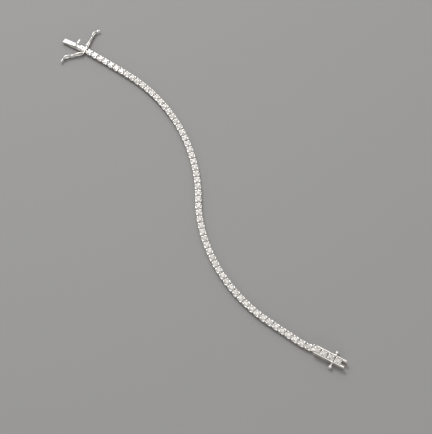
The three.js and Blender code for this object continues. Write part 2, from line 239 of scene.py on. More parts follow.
class BRACELET_PG_clasp(PropertyGroup):
    """The spring tongue, the catches and the clasp box."""

    tongue_length: length("Tongue length", "From the end link to the fold", 7.9)
    tongue_width: length("Tongue width", "Across both leaves", 2.0)
    leaf: length("Leaf", "Thickness of the folded strip", 0.38)
    tab_height: length("Tab height", "Top of the thumb tab", 6.1)
    wire: length("Catch wire", "Thickness of the safety catches' wire", 0.66)
    box_length: length("Box length", "Along the bracelet", 12.5)
    box_width: length("Box width", "Across the bracelet", 3.0)
    box_height: length("Box height", "From the floor to the rails", 2.9)
    stud_ball: length("Stud ball", "Radius of the ball that a catch snaps over", 0.7)


class BRACELET_PG_finish(PropertyGroup):
    """Colours and polish."""

    metal: colour("Metal", "Rhodium-plated white gold", (0.94, 0.92, 0.89))
    # Painted shade: the darker colour that the metal is mixed towards low down, near the floor.
    painted_shade_metal: colour("Metal near the floor", "White gold low down, less polished", (0.36, 0.32, 0.28))
    diamond: colour("Diamond", "Body colour of the stones", (0.95, 0.9, 0.85))
    # Painted shade: the colour of the darker facets.
    diamond_dark: colour("Dark facets", "Colour of a facet turned from the light", (0.34, 0.315, 0.29))
    floor: colour("Floor", "Plain studio floor", (0.33, 0.326, 0.318))
    polish: share("Polish", "Roughness of the polished metal", 0.35)
    clarity: share("Clarity", "How much of the light goes through a stone", 0.12)


# ---------------------------------------------------------------- small helpers


def mm(*lengths):
    """A point or a step, from millimetres."""
    return Vector(lengths) * MM


def only(piece):
    """Makes this the one selected and active object."""
    bpy.ops.object.select_all(action="DESELECT")
    piece.select_set(True)
    bpy.context.view_layer.objects.active = piece


@contextmanager
def editing(piece, elements="FACE"):
    only(piece)
    bpy.ops.object.mode_set(mode="EDIT")
    bpy.ops.mesh.select_mode(type=elements)
    bpy.ops.mesh.select_all(action="DESELECT")
    yield
    bpy.ops.object.mode_set(mode="OBJECT")


def pick_faces(piece, test):
    """Selects the faces whose middle and normal pass the test, and no others."""
    bpy.ops.mesh.select_all(action="DESELECT")
    mesh = bmesh.from_edit_mesh(piece.data)
    for face in mesh.faces:
        if test(face.calc_center_median(), face.normal):
            face.select_set(True)
    bmesh.update_edit_mesh(piece.data)


def pick_edges(piece, test):
    """Selects the edges whose two ends pass the test, and no others."""
    bpy.ops.mesh.select_all(action="DESELECT")
    mesh = bmesh.from_edit_mesh(piece.data)
    for edge in mesh.edges:
        if test(*(vertex.co for vertex in edge.verts)):
            edge.select_set(True)
    bmesh.update_edit_mesh(piece.data)


def pick_top(piece):
    pick_faces(piece, lambda middle, normal: normal.z > 0.9)


def take(name):
    """Names the primitive just added and puts its place into its mesh."""
    piece = bpy.context.object
    piece.name = name
    bpy.ops.object.transform_apply(location=True, rotation=True, scale=True)
    return piece


def add_block(name, low, high):
    """A block between two corners, in millimetres."""
    low, high = mm(*low), mm(*high)
    bpy.ops.mesh.primitive_cube_add(size=1, location=(low + high) / 2, scale=high - low)
    return take(name)


def add_round(name, start, end, radius, end_radius=None, sides=24):
    """A round bar or a cone from one point to another, in millimetres."""
    start, end = mm(*start), mm(*end)
    bpy.ops.mesh.primitive_cone_add(
        vertices=sides,
        radius1=radius * MM,
        radius2=(radius if end_radius is None else end_radius) * MM,
        depth=(end - start).length,
        location=(start + end) / 2,
        rotation=(end - start).to_track_quat("Z", "Y").to_euler(),
    )
    return take(name)


def add_ball(name, centre, radius, segments=24, rings=16):
    bpy.ops.mesh.primitive_uv_sphere_add(segments=segments, ring_count=rings, radius=radius, location=centre)
    return take(name)


def apply_modifier(piece, kind, **settings):
    only(piece)
    modifier = piece.modifiers.new(kind.title(), kind)
    for setting, value in settings.items():
        setattr(modifier, setting, value)
    bpy.ops.object.modifier_apply(modifier=modifier.name)


def combine(piece, operation, tools):
    for tool in tools:
        apply_modifier(piece, "BOOLEAN", operation=operation, solver="EXACT", object=tool)
        discard(tool)
    return piece


def cut(piece, *tools):
    return combine(piece, "DIFFERENCE", tools)


def weld(piece, *tools):
    return combine(piece, "UNION", tools)


def bevel(piece, width, segments=2, angle=35):
    """Rounds every edge that is sharper than the angle, by a width in millimetres."""
    apply_modifier(
        piece,
        "BEVEL",
        width=width * MM,
        segments=segments,
        limit_method="ANGLE",
        angle_limit=math.radians(angle),
        use_clamp_overlap=True,
    )


def join(pieces, name):
    bpy.ops.object.select_all(action="DESELECT")
    for piece in pieces:
        piece.select_set(True)
    bpy.context.view_layer.objects.active = pieces[0]
    bpy.ops.object.join()
    pieces[0].name = name
    return pieces[0]


def copy_at(piece, matrix, name):
    """A copy with its own mesh. A mirrored one is turned right side out again."""
    made = piece.copy()
    made.data = piece.data.copy()
    made.name = name
    made.data.transform(matrix)
    if matrix.determinant() < 0:
        made.data.flip_normals()
    bpy.context.scene.collection.objects.link(made)
    return made


def discard(piece):
    bpy.data.objects.remove(piece)


def four_corners(piece):
    """The piece and its mirror images about X and Y."""
    signs = [(sx, sy) for sx in (-1, 1) for sy in (-1, 1)]
    copies = [copy_at(piece, Matrix.Diagonal((sx, sy, 1, 1)), piece.name) for sx, sy in signs]
    discard(piece)
    return copies


def both_sides(piece):
    """The piece and its mirror image about Y."""
    copies = [copy_at(piece, Matrix.Diagonal((1, sy, 1, 1)), piece.name) for sy in (-1, 1)]
    discard(piece)
    return copies


def finish_piece(piece, body, material, node=None, smooth=35):
    """The last steps of every piece: its finish, shading and body, and the CAD node that it stands for."""
    only(piece)
    piece.data.materials.clear()
    piece.data.materials.append(material)
    if smooth:
        bpy.ops.object.shade_smooth_by_angle(angle=math.radians(smooth))
    else:
        bpy.ops.object.shade_flat()
    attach(piece, body)
    if node:
        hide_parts(node)


# ---------------------------------------------------------------- where everything lies


def pose_at(x, y, heading):
    return Matrix.Translation((x, y, 0)) @ Matrix.Rotation(heading, 4, "Z")


def catch_pivot(joint_name):
    return Vector(next(j["pos_m"] for j in frame["joints"] if j["name"] == joint_name))


def end_link_matrix():
    """The end link's frame. The two catches' pivots lie across it, a little ahead of its middle."""
    left = catch_pivot("left_catch_swing")
    right = catch_pivot("right_catch_swing")
    across = left - right
    heading = math.atan2(across.y, across.x) - math.pi / 2
    middle = (left + right) / 2
    return pose_at(middle.x, middle.y, heading) @ Matrix.Translation(mm(-CATCH_PIVOT["x"], 0, 0))


def chain_matrices():
    """The frame of each link, and the last hinge with the last link's heading."""
    pitch = bpy.context.scene.bracelet_links.pitch
    start = end_link_matrix()
    hinge = start @ Vector((pitch / 2, 0, 0))
    first_bend = ROUTE[0]["turn"] / ROUTE[0]["links"]
    heading = start.to_euler().z - math.radians(END_LINK_TURN + first_bend)
    matrices = []
    for row in ROUTE:
        for _ in range(row["links"]):
            heading += math.radians(row["turn"] / row["links"])
            step = Vector((math.cos(heading), math.sin(heading), 0)) * pitch
            middle = hinge + step / 2
            matrices.append(pose_at(middle.x, middle.y, heading))
            hinge = hinge + step
    return matrices, hinge, heading


def chain_runs():
    """The links' frames, shared out among the runs that the CAD joins them in."""
    matrices, _, _ = chain_matrices()
    ends = [int(run * len(matrices) / RUN_COUNT + 0.5) for run in range(RUN_COUNT + 1)]
    return [matrices[first:last] for first, last in zip(ends, ends[1:])]


def box_matrix():
    """The clasp box's frame, whose X starts at the end of the box."""
    _, hinge, heading = chain_matrices()
    turned = pose_at(hinge.x, hinge.y, heading + math.radians(BOX_TURN))
    return turned @ Matrix.Translation(mm(BOX_HINGE_GAP, 0, 0))


def box_stone_places():
    return [BOX_STONES["first"] + i * BOX_STONES["pitch"] for i in range(BOX_STONES["count"])]


# ---------------------------------------------------------------- materials


def new_material(name):
    material = bpy.data.materials.new(name)
    material.use_nodes = True
    nodes = material.node_tree.nodes
    nodes.clear()
    shader = nodes.new("ShaderNodeBsdfPrincipled")
    output = nodes.new("ShaderNodeOutputMaterial")
    material.node_tree.links.new(shader.outputs["BSDF"], output.inputs["Surface"])
    return material, shader


def add_noise(tree, scale, detail=4.0, roughness=0.55):
    coordinates = tree.nodes.new("ShaderNodeTexCoord")
    noise = tree.nodes.new("ShaderNodeTexNoise")
    noise.inputs["Scale"].default_value = scale
    noise.inputs["Detail"].default_value = detail
    noise.inputs["Roughness"].default_value = roughness
    tree.links.new(coordinates.outputs["Object"], noise.inputs["Vector"])
    return noise.outputs["Fac"]


def add_cells(tree, scale):
    """Many-sided patches, each with a random value of its own."""
    coordinates = tree.nodes.new("ShaderNodeTexCoord")
    cells = tree.nodes.new("ShaderNodeTexVoronoi")
    cells.inputs["Scale"].default_value = scale
    tree.links.new(coordinates.outputs["Object"], cells.inputs["Vector"])
    split = tree.nodes.new("ShaderNodeSeparateColor")
    tree.links.new(cells.outputs["Color"], split.inputs["Color"])
    return split.outputs["Red"]


def height_above_floor(tree):
    coordinates = tree.nodes.new("ShaderNodeTexCoord")
    split = tree.nodes.new("ShaderNodeSeparateXYZ")
    tree.links.new(coordinates.outputs["Object"], split.inputs["Vector"])
    return split.outputs["Z"]


def map_range(tree, source, low, high, new_low, new_high):
    node = tree.nodes.new("ShaderNodeMapRange")
    node.inputs["From Min"].default_value = low
    node.inputs["From Max"].default_value = high
    node.inputs["To Min"].default_value = new_low
    node.inputs["To Max"].default_value = new_high
    tree.links.new(source, node.inputs["Value"])
    return node.outputs["Result"]


def mix_colours(tree, factor, first, second):
    """Mixes two colours, either of which may be another node's output."""
    node = tree.nodes.new("ShaderNodeMix")
    node.data_type = "RGBA"
    for socket, value in ((node.inputs["A"], first), (node.inputs["B"], second)):
        if isinstance(value, bpy.types.NodeSocket):
            tree.links.new(value, socket)
        else:
            socket.default_value = (*value, 1)
    tree.links.new(factor, node.inputs["Factor"])
    return node.outputs["Result"]


def polished_gold():
    """White gold under rhodium, finely scratched, with painted shade: bright on top and darkened low down
    towards the floor.
    """
    found = bpy.data.materials.get("polished white gold")
    if found:
        return found
    finish = bpy.context.scene.bracelet_finish
    material, shader = new_material("polished white gold")
    tree = material.node_tree
    shader.inputs["Metallic"].default_value = 0.88
    warm = [value * part for value, part in zip(finish.metal, WARM)]
    mottle = map_range(tree, add_noise(tree, MOTTLE_SCALE), 0.3, 0.7, 0, 1)
    polished = mix_colours(tree, mottle, finish.metal, warm)
    # Painted shade: below SHADE_HEIGHT the metal is darkened more and more towards the floor.
    height = map_range(tree, height_above_floor(tree), 0, SHADE_HEIGHT * MM, 0, 1)
    tree.links.new(mix_colours(tree, height, finish.painted_shade_metal, polished), shader.inputs["Base Color"])
    wear = add_noise(tree, SCRATCH_SCALE, detail=6.0, roughness=0.7)
    dull = map_range(tree, wear, 0.3, 0.75, finish.polish * 0.8, finish.polish * 1.3)
    tree.links.new(dull, shader.inputs["Roughness"])
    bump = tree.nodes.new("ShaderNodeBump")
    bump.inputs["Strength"].default_value = 0.06
    bump.inputs["Distance"].default_value = SCRATCH_DEPTH * MM
    tree.links.new(wear, bump.inputs["Height"])
    tree.links.new(bump.outputs["Normal"], shader.inputs["Normal"])
    return material


def diamond():
    """A clear stone with painted reflections. Its facets differ in painted light and shade, and in each one
    the facets below it show as painted patches.
    """
    found = bpy.data.materials.get("brilliant-cut diamond")
    if found:
        return found
    finish = bpy.context.scene.bracelet_finish
    material, shader = new_material("brilliant-cut diamond")
    tree = material.node_tree
    # Painted reflections: each facet's tone, times the painted patches, picks between the dark and the lit
    # colour.
    tone = tree.nodes.new("ShaderNodeAttribute")
    tone.attribute_name = "facet_tone"
    patches = map_range(tree, add_cells(tree, PATCH_SCALE), 0.2, 0.6, 0.6, 1)
    share_lit = tree.nodes.new("ShaderNodeMath")
    share_lit.operation = "MULTIPLY"
    tree.links.new(tone.outputs["Fac"], share_lit.inputs[0])
    tree.links.new(patches, share_lit.inputs[1])
    lit = mix_colours(tree, share_lit.outputs["Value"], finish.diamond_dark, finish.diamond)
    tree.links.new(lit, shader.inputs["Base Color"])
    shader.inputs["Roughness"].default_value = 0.02
    shader.inputs["IOR"].default_value = 2.42
    shader.inputs["Transmission Weight"].default_value = finish.clarity
    return material


def tone_facets(piece, seed):
    """Gives each facet a tone of its own, its painted light or shade."""
    draw = random.Random(seed)
    tones = [draw.choice(FACET_TONES) for _ in piece.data.polygons]
    layer = piece.data.attributes.new("facet_tone", "FLOAT", "FACE")
    layer.data.foreach_set("value", tones)


def studio_floor():
    finish = bpy.context.scene.bracelet_finish
    material, shader = new_material("studio floor")
    shader.inputs["Base Color"].default_value = (*finish.floor, 1)
    shader.inputs["Roughness"].default_value = 0.75
    return material


# ---------------------------------------------------------------- stones


def brilliant_planes(radius, girdle, table_height):
    """Every facet as a point on it and its outward normal, about a girdle whose lower edge is z = 0."""
    planes = []
    for side, rows, rise in ((1, CROWN_FACETS, girdle), (-1, PAVILION_FACETS, 0.0)):
        for row in rows:
            slope = math.radians(row["slope"])
            for i in range(row["count"]):
                bearing = 2 * math.pi * (row["first"] / 8 + i / row["count"])
                out = Vector((math.cos(bearing), math.sin(bearing), 0))
                normal = out * math.sin(slope) + Vector((0, 0, side * math.cos(slope)))
                planes.append((out * radius * row["reach"] + Vector((0, 0, rise)), normal))
    planes.append((Vector((0, 0, table_height)), Vector((0, 0, 1))))
    star = math.radians(STAR_SLOPE)
    for i in range(8):
        bearing = 2 * math.pi * (i + 0.5) / 8
        out = Vector((math.cos(bearing), math.sin(bearing), 0))
        edge = out * radius * TABLE * math.cos(math.pi / 8) + Vector((0, 0, table_height))
        planes.append((edge, out * math.sin(star) + Vector((0, 0, math.cos(star)))))
    return planes


def model_brilliant(name, radius):
    """Cuts a round brilliant from a rod, one facet at a time."""
    girdle = GIRDLE * radius
    bezel = math.radians(CROWN_FACETS[0]["slope"])
    table_height = girdle + radius * (1 - TABLE) * math.tan(bezel)
    half = radius / MM
    rod = add_round(name, (0, 0, -half), (0, 0, half), half, sides=32)
    with editing(rod):
        for point, normal in brilliant_planes(radius, girdle, table_height):
            bpy.ops.mesh.select_all(action="SELECT")
            bpy.ops.mesh.bisect(
                plane_co=point, plane_no=normal, use_fill=True, clear_outer=True, threshold=1e-8
            )
        bpy.ops.mesh.select_all(action="SELECT")
        bpy.ops.mesh.remove_doubles(threshold=1e-7)
        bpy.ops.mesh.normals_make_consistent(inside=False)
    return rod


# ---------------------------------------------------------------- collets and their hinges


def model_cup(name):
    """A collet's cup: a rounded square foot that flares to an upright rim."""
    foot = CUP_ROWS[0]
    half_length, half_width = foot["length"] / 2, foot["width"] / 2
    top = CUP_ROWS[1]["height"]
    cup = add_block(name, (-half_length, -half_width, 0), (half_length, half_width, top))
    with editing(cup):
        pick_top(cup)
        grow_top(foot, CUP_ROWS[1])
        for below, row in zip(CUP_ROWS[1:], CUP_ROWS[2:]):
            rise = (row["height"] - below["height"]) * MM
            bpy.ops.mesh.extrude_region_move(TRANSFORM_OT_translate={"value": (0, 0, rise)})
            grow_top(below, row)
        pick_edges(cup, lambda a, b: abs(a.z - b.z) > 0.05 * MM)
        bpy.ops.mesh.bevel(offset=CUP_CORNER * MM, segments=4)
    bevel(cup, 0.05, segments=2, angle=50)
    return cup


def grow_top(below, row):
    """Widens the selected top of a cup from one row of its outline to the next."""
    grown = (row["length"] / below["length"], row["width"] / below["width"], 1)
    bpy.ops.transform.resize(value=grown, center_override=(0, 0, row["height"] * MM))


def open_setting(piece, stone_radius):
    """Bores the piece under its stone, dips its rim between the claws and frees the claws' roots."""
    seat, height, overlap = stone_radius / MM * SEAT["share"], SEAT["height"], SEAT["overlap"]
    above = RIM_HEIGHT + 1
    bore = add_round("bore", (0, 0, -overlap), (0, 0, height), SEAT["foot"], seat, sides=32)
    mouth = add_round("mouth", (0, 0, height - overlap), (0, 0, above), seat, sides=32)
    z, radius = RIM_HEIGHT + DIP["above_rim"], DIP["radius"]
    dip_across = add_round("dip", (0, -2, z), (0, 2, z), radius, sides=48)
    dip_along = add_round("dip", (-2, 0, z), (2, 0, z), radius, sides=48)
    x, y = RIM_HALF_LENGTH + CLAW_ROOT["out"], CLAW_ROOT["y"]
    root = add_round("root", (x, y, CLAW_ROOT["low"]), (x, y, above), CLAW_ROOT["radius"], sides=20)
    return cut(piece, bore, mouth, dip_across, dip_along, *four_corners(root))


def model_claw(sizes, x, y):
    """One corner claw, which rises from the wall and bends in over the stone's edge."""
    inward = Vector((-x, -y, 0)).normalized()
    shank = sizes.claw_height / MM - sum(row["up"] for row in CLAW_ROWS)
    claw = add_round("claw", (x, y, RIM_HEIGHT - 0.45), (x, y, shank), sizes.claw_radius / MM, sides=16)
    with editing(claw):
        pick_top(claw)
        centre = mm(x, y, shank)
        for row in CLAW_ROWS:
            move = inward * row["in"] * MM + mm(0, 0, row["up"])
            centre += move
            bpy.ops.mesh.extrude_region_move(TRANSFORM_OT_translate={"value": move})
            scale = (row["scale"], row["scale"], 1)
            bpy.ops.transform.resize(value=scale, center_override=centre)
    return claw


def add_claws(piece, sizes, half_length, half_width):
    """Four claws, whose sides stand a little proud of the corners of the rim."""
    inset = sizes.claw_radius / MM
    return weld(piece, *four_corners(model_claw(sizes, half_length - inset, half_width - inset)))


def add_fork(piece, hinge_x):
    """Two cheeks with a riveted pin, on the +X side of a link."""
    z, stem = HINGE["height"], HINGE["stem"]
    inner, outer = HINGE["cheek_in"], HINGE["cheek_out"]
    cheek = add_round("cheek", (hinge_x, inner, z), (hinge_x, outer, z), HINGE["knuckle"], sides=20)
    weld(cheek, add_block("stem", (HINGE_ROOT, inner, z - stem), (hinge_x, outer, z + stem)))
    bevel(cheek, 0.04, segments=1, angle=60)
    weld(piece, *both_sides(cheek))
    out = outer + HINGE_PIN["rivet"]
    pin = add_round("pin", (hinge_x, -out, z), (hinge_x, out, z), HINGE_PIN["radius"], sides=16)
    return join([piece, pin], piece.name)


def add_lug(piece, hinge_x, root_x):
    """The bored knuckle between the cheeks, on the -X side of a link."""
    z, stem, half = HINGE["height"], HINGE["stem"], HINGE["lug"]
    knuckle = add_round("lug", (hinge_x, -half, z), (hinge_x, half, z), HINGE["knuckle"], sides=20)
    weld(knuckle, add_block("stem", (hinge_x, -half, z - stem), (root_x, half, z + stem)))
    bore_radius = HINGE_PIN["radius"] + HINGE_PIN["play"]
    cut(knuckle, add_round("bore", (hinge_x, -2, z), (hinge_x, 2, z), bore_radius, sides=16))
    return weld(piece, knuckle)


def model_link(sizes):
    """A whole link: its open cup, its claws, its lug and its fork with the pin."""
    hinge_x = sizes.pitch / 2 / MM
    link = open_setting(model_cup("link"), sizes.stone_radius)
    z = ARCH["height"]
    cut(link, add_round("arch", (0, -2, z), (0, 2, z), ARCH["radius"], sides=20))
    add_claws(link, sizes, RIM_HALF_LENGTH, RIM_HALF_WIDTH)
    add_lug(link, -hinge_x, -HINGE_ROOT)
    return add_fork(link, hinge_x)


class BRACELET_OT_links(Operator):
    """Model one link and lay copies of it along the chain"""

    bl_idname = "bracelet.links"
    bl_label = "Links"

    def execute(self, context):
        link = model_link(context.scene.bracelet_links)
        for number, matrices in enumerate(chain_runs(), start=1):
            name = f"links_{number}"
            members = [copy_at(link, matrix, f"{name}_{i}") for i, matrix in enumerate(matrices)]
            finish_piece(join(members, name), BODY, polished_gold(), f"chain_run_{number}")
        discard(link)
        return {"FINISHED"}


class BRACELET_OT_stones(Operator):
    """Cut one round brilliant and set a copy of it in each link"""

    bl_idname = "bracelet.stones"
    bl_label = "Stones"

    def execute(self, context):
        stone = model_brilliant("stone", context.scene.bracelet_links.stone_radius)
        seat = Matrix.Translation(mm(0, 0, RIM_HEIGHT))
        for number, matrices in enumerate(chain_runs(), start=1):
            name = f"stones_{number}"
            members = [copy_at(stone, matrix @ seat, f"{name}_{i}") for i, matrix in enumerate(matrices)]
            run = join(members, name)
            tone_facets(run, number)
            finish_piece(run, BODY, diamond(), smooth=0)
        end_stone = copy_at(stone, end_link_matrix() @ seat, "end_stone")
        tone_facets(end_stone, 0)
        finish_piece(end_stone, BODY, diamond(), "end_link_stone", smooth=0)
        discard(stone)
        return {"FINISHED"}


# ---------------------------------------------------------------- the end link and its tongue


def model_catch_tube():
    """The upright tube on the left of the end link, on its web."""
    x, y = CATCH_PIVOT["x"], CATCH_PIVOT["y"]
    low, high = CATCH_TUBE["low"], CATCH_TUBE["high"]
    tube = add_round("tube", (x, y, low), (x, y, high), CATCH_TUBE["outer"], sides=28)
    bevel(tube, 0.05)
    half, step = CATCH_WEB["half"], CATCH_WEB["step"]
    web_low = (x - half, CATCH_WEB["start"], low + step)
    weld(tube, add_block("web", web_low, (x + half, y - CATCH_WEB["lap"], high - step)))
    return cut(tube, add_round("bore", (x, y, 0), (x, y, 3), CATCH_TUBE["inner"], sides=28))


def model_end_link(sizes):
    """A longer collet with a shoulder for the tongue and a tube on each side for the catches."""
    hinge_x = sizes.pitch / 2 / MM
    half = END_SHOULDER["half"]
    shoulder_low = (END_FRONT, -half, END_SHOULDER["low"])
    shoulder = add_block("shoulder", shoulder_low, (END_SHOULDER["back"], half, RIM_HEIGHT))
    bevel(shoulder, 0.1, segments=3)
    end_link = weld(model_cup("end_link"), shoulder)
    open_setting(end_link, sizes.stone_radius)
    add_claws(end_link, sizes, RIM_HALF_LENGTH, RIM_HALF_WIDTH)
    weld(end_link, *both_sides(model_catch_tube()))
    return add_fork(end_link, hinge_x)


def run_on(distance, heading):
    """Extrudes the selected edge of a strip straight on, along a heading above the horizontal."""
    step = Vector((math.cos(heading), 0, math.sin(heading))) * distance
    bpy.ops.mesh.extrude_region_move(TRANSFORM_OT_translate={"value": step})


def end_edge(strip):
    """The middle of the selected edge."""
    mesh = bmesh.from_edit_mesh(strip.data)
    ends = [vertex.co for vertex in mesh.verts if vertex.select]
    return sum(ends, Vector()) / len(ends)


def bend(strip, heading, radius, angle, steps=6):
    """Bends the strip on from its selected edge, upwards if the angle is positive."""
    towards = Vector((-math.sin(heading), 0, math.cos(heading))) * math.copysign(radius, angle)
    centre = end_edge(strip) + towards
    bpy.ops.mesh.spin(steps=steps, angle=angle, center=centre, axis=(0, 1, 0))


def model_tongue(clasp):
    """A strip folded at the tip, which rises back over itself, turns up and ends in a rolled thumb lip."""
    fold = TONGUE["fold"] * MM
    low = TONGUE["low"] * MM + clasp.leaf / 2
    root = (END_FRONT + 0.3) * MM
    tip = END_FRONT * MM - clasp.tongue_length + fold + clasp.leaf / 2
    rear = (END_FRONT - TONGUE["rear"]) * MM
    rise = math.radians(TONGUE["rise"])
    slope = math.radians(TAB["slope"])
    middle = Vector(((root + tip) / 2, 0, low))
    bpy.ops.mesh.primitive_plane_add(size=1, location=middle)
    strip = take("tongue")
    with editing(strip, "EDGE"):
        bpy.ops.mesh.select_all(action="SELECT")
        bpy.ops.transform.resize(value=(root - tip, clasp.tongue_width, 1), center_override=middle)
        pick_edges(strip, lambda a, b: max(a.x, b.x) < tip + 0.01 * MM)
        centre = end_edge(strip) + Vector((0, 0, fold))
        bpy.ops.mesh.spin(steps=8, angle=rise - math.pi, center=centre, axis=(0, 1, 0))
        run_on((rear - tip) / math.cos(rise), rise)
        bpy.ops.transform.resize(value=(1, TAB["stem"] * MM / clasp.tongue_width, 1))
        bend(strip, rise, TAB["bend"] * MM, slope - rise)
        curl, flare = TAB["curl"] * MM, TAB["flare"] * MM
        roll_top = clasp.tab_height - clasp.leaf / 2 - curl * (1 - math.cos(slope))
        run_on((roll_top - end_edge(strip).z) / math.sin(slope) - flare, slope)
        run_on(flare, slope)
        bpy.ops.transform.resize(value=(1, TAB["width"] / TAB["stem"], 1))
        bend(strip, slope, curl, -math.radians(TAB["curl_turn"]), steps=10)
    apply_modifier(strip, "SOLIDIFY", thickness=clasp.leaf, offset=0)
    bevel(strip, 0.07, segments=3, angle=50)
    return strip


class BRACELET_OT_end_link(Operator):
    """Model the end link with its stone's collet, shoulder and catch tubes"""

    bl_idname = "bracelet.end_link"
    bl_label = "End link"

    def execute(self, context):
        end_link = model_end_link(context.scene.bracelet_links)
        end_link.data.transform(end_link_matrix())
        finish_piece(end_link, BODY, polished_gold(), "end_link_with_tongue")
        return {"FINISHED"}


class BRACELET_OT_tongue(Operator):
    """Fold the spring tongue out of a strip, with its thumb tab"""

    bl_idname = "bracelet.tongue"
    bl_label = "Spring tongue"

    def execute(self, context):
        tongue = model_tongue(context.scene.bracelet_clasp)
        tongue.data.transform(end_link_matrix())
        finish_piece(tongue, BODY, polished_gold(), "end_link_with_tongue")
        return {"FINISHED"}


# ---------------------------------------------------------------- the safety catches


def bent(along, up):
    """A point of the catch, carried outwards round the bend of its free end."""
    start, radius = CATCH_BEND["start"], CATCH_BEND["radius"]
    if along <= start:
        return mm(along, 0, up)
    angle = (along - start) / radius
    return mm(start + radius * math.sin(angle), radius * (1 - math.cos(angle)), up)


def draw_wire(name, places, radii, closed=False):
    """A round wire drawn through the places, with a radius at each."""
    bpy.ops.curve.primitive_nurbs_path_add()
    wire = bpy.context.object
    wire.name = name
    wire.data.splines.clear()
    spline = wire.data.splines.new("NURBS")
    spline.points.add(len(places) - 1)
    for point, place, radius in zip(spline.points, places, radii):
        point.co = (*place, 1)
        point.radius = radius / MM
    spline.order_u = 3
    spline.use_cyclic_u = closed
    spline.use_endpoint_u = not closed
    spline.resolution_u = 6
    wire.data.bevel_depth = MM
    wire.data.bevel_resolution = 4
    wire.data.use_fill_caps = not closed
    only(wire)
    bpy.ops.object.convert(target="MESH")
    return bpy.context.object


def model_catch(clasp):
    """A figure eight of wire that ends in a small finger lip with a bead."""
    upper = [bent(row["along"], row["up"]) for row in EIGHT]
    lower = [bent(row["along"], -row["up"]) for row in reversed(EIGHT[1:-1])]
    eight = upper + lower
    wire = draw_wire("wire", eight, [clasp.wire / 2] * len(eight), closed=True)
    lip_places = [bent(row["along"], 0) for row in LIP_ROWS]
    lip = draw_wire("lip", lip_places, [row["radius"] * MM for row in LIP_ROWS])
    bead = add_ball("bead", bent(CATCH_TIP - CATCH_BEAD, 0), CATCH_BEAD * MM, segments=20, rings=12)
    return join([wire, lip, bead], "catch")


class BRACELET_OT_catches(Operator):
    """Bend one figure-eight catch from wire, and hang it and its mirror image on the end link"""

    bl_idname = "bracelet.catches"
    bl_label = "Safety catches"

    def execute(self, context):
        catch = model_catch(context.scene.bracelet_clasp)
        for row in CATCHES:
            side = row["side"]
            pivot = Matrix.Translation(mm(CATCH_PIVOT["x"], side * CATCH_PIVOT["y"], CATCH_PIVOT["z"]))
            turn = Matrix.Rotation(math.pi - side * math.radians(row["open"]), 4, "Z")
            mirror = Matrix.Diagonal((1, -side, 1, 1))
            piece = copy_at(catch, end_link_matrix() @ pivot @ turn @ mirror, row["name"])
            finish_piece(piece, row["body"], polished_gold(), row["node"], smooth=60)
        discard(catch)
        return {"FINISHED"}


# ---------------------------------------------------------------- the clasp box


def chamfer_box(shell):
    """Cuts the two upright corners off the box at the chain's end."""
    for side in (-1, 1):
        bpy.ops.mesh.select_all(action="SELECT")
        bpy.ops.mesh.bisect(
            plane_co=mm(0, side * BOX_CHAMFER["y"], 0),
            plane_no=(-BOX_CHAMFER["across"], side * BOX_CHAMFER["run"], 0),
            use_fill=True,
            clear_outer=True,
            threshold=1e-8,
        )


def add_stone_bore(x):
    """The hole in the channel's floor under a stone."""
    low, high = (x, 0, BOX_BORE["low"]), (x, 0, BOX_BORE["high"])
    return add_round("bore", low, high, BOX_BORE["foot"], BOX_BORE["mouth"])


def add_slot(x, top):
    """The slot across the channel between one head and the next."""
    reach, half = BOX_SLOT["half_length"], BOX_SLOT["half_width"]
    return add_block("slot", (x - reach, -half, BOX_SLOT["low"]), (x + reach, half, top))


def model_box_shell(clasp):
    """The hollow box: chamfered at the chain's end, open at the mouth, with a sunk panel on each side."""
    end, half, height = clasp.box_length / MM, clasp.box_width / 2 / MM, clasp.box_height / MM
    shell = add_block("box", (0, -half, 0), (end, half, height))
    with editing(shell):
        chamfer_box(shell)
        pick_faces(shell, lambda middle, normal: abs(normal.y) > 0.95)
        margin, slope, depth = (BOX_PANEL[key] * MM for key in ("margin", "slope", "depth"))
        bpy.ops.mesh.inset(thickness=margin, depth=0, use_individual=True)
        bpy.ops.mesh.inset(thickness=slope, depth=-depth, use_individual=True)
    bevel(shell, 0.08, segments=3, angle=40)
    cavity, channel, notch = BOX_CAVITY, BOX_CHANNEL, BOX_NOTCH
    cavity_low = (end - cavity["depth"], -cavity["half"], cavity["low"])
    channel_low = (-1, -channel["half"], channel["floor"])
    notch_low = (end - notch["length"], -notch["half"], notch["low"])
    return cut(
        shell,
        add_block("cavity", cavity_low, (end + 1, cavity["half"], cavity["high"])),
        add_block("channel", channel_low, (channel["end"], channel["half"], height + 1)),
        add_block("notch", notch_low, (end + 1, notch["half"], height + 1)),
        *[add_stone_bore(x) for x in box_stone_places()],
        *[add_slot(x + BOX_STONES["pitch"] / 2, height + 1) for x in box_stone_places()[:-1]],
    )


def model_box_head(sizes):
    """One of the square heads that stand in the box's channel, at the height of a link's rim."""
    half_length, half_width = BOX_HEAD["half_length"], BOX_HEAD["half_width"]
    foot = RIM_HEIGHT - BOX_HEAD["depth"]
    head = add_block("head", (-half_length, -half_width, foot), (half_length, half_width, RIM_HEIGHT))
    bevel(head, 0.07, segments=2, angle=40)
    open_setting(head, sizes.stone_radius)
    return add_claws(head, sizes, half_length, half_width + BOX_HEAD["claws_out"])


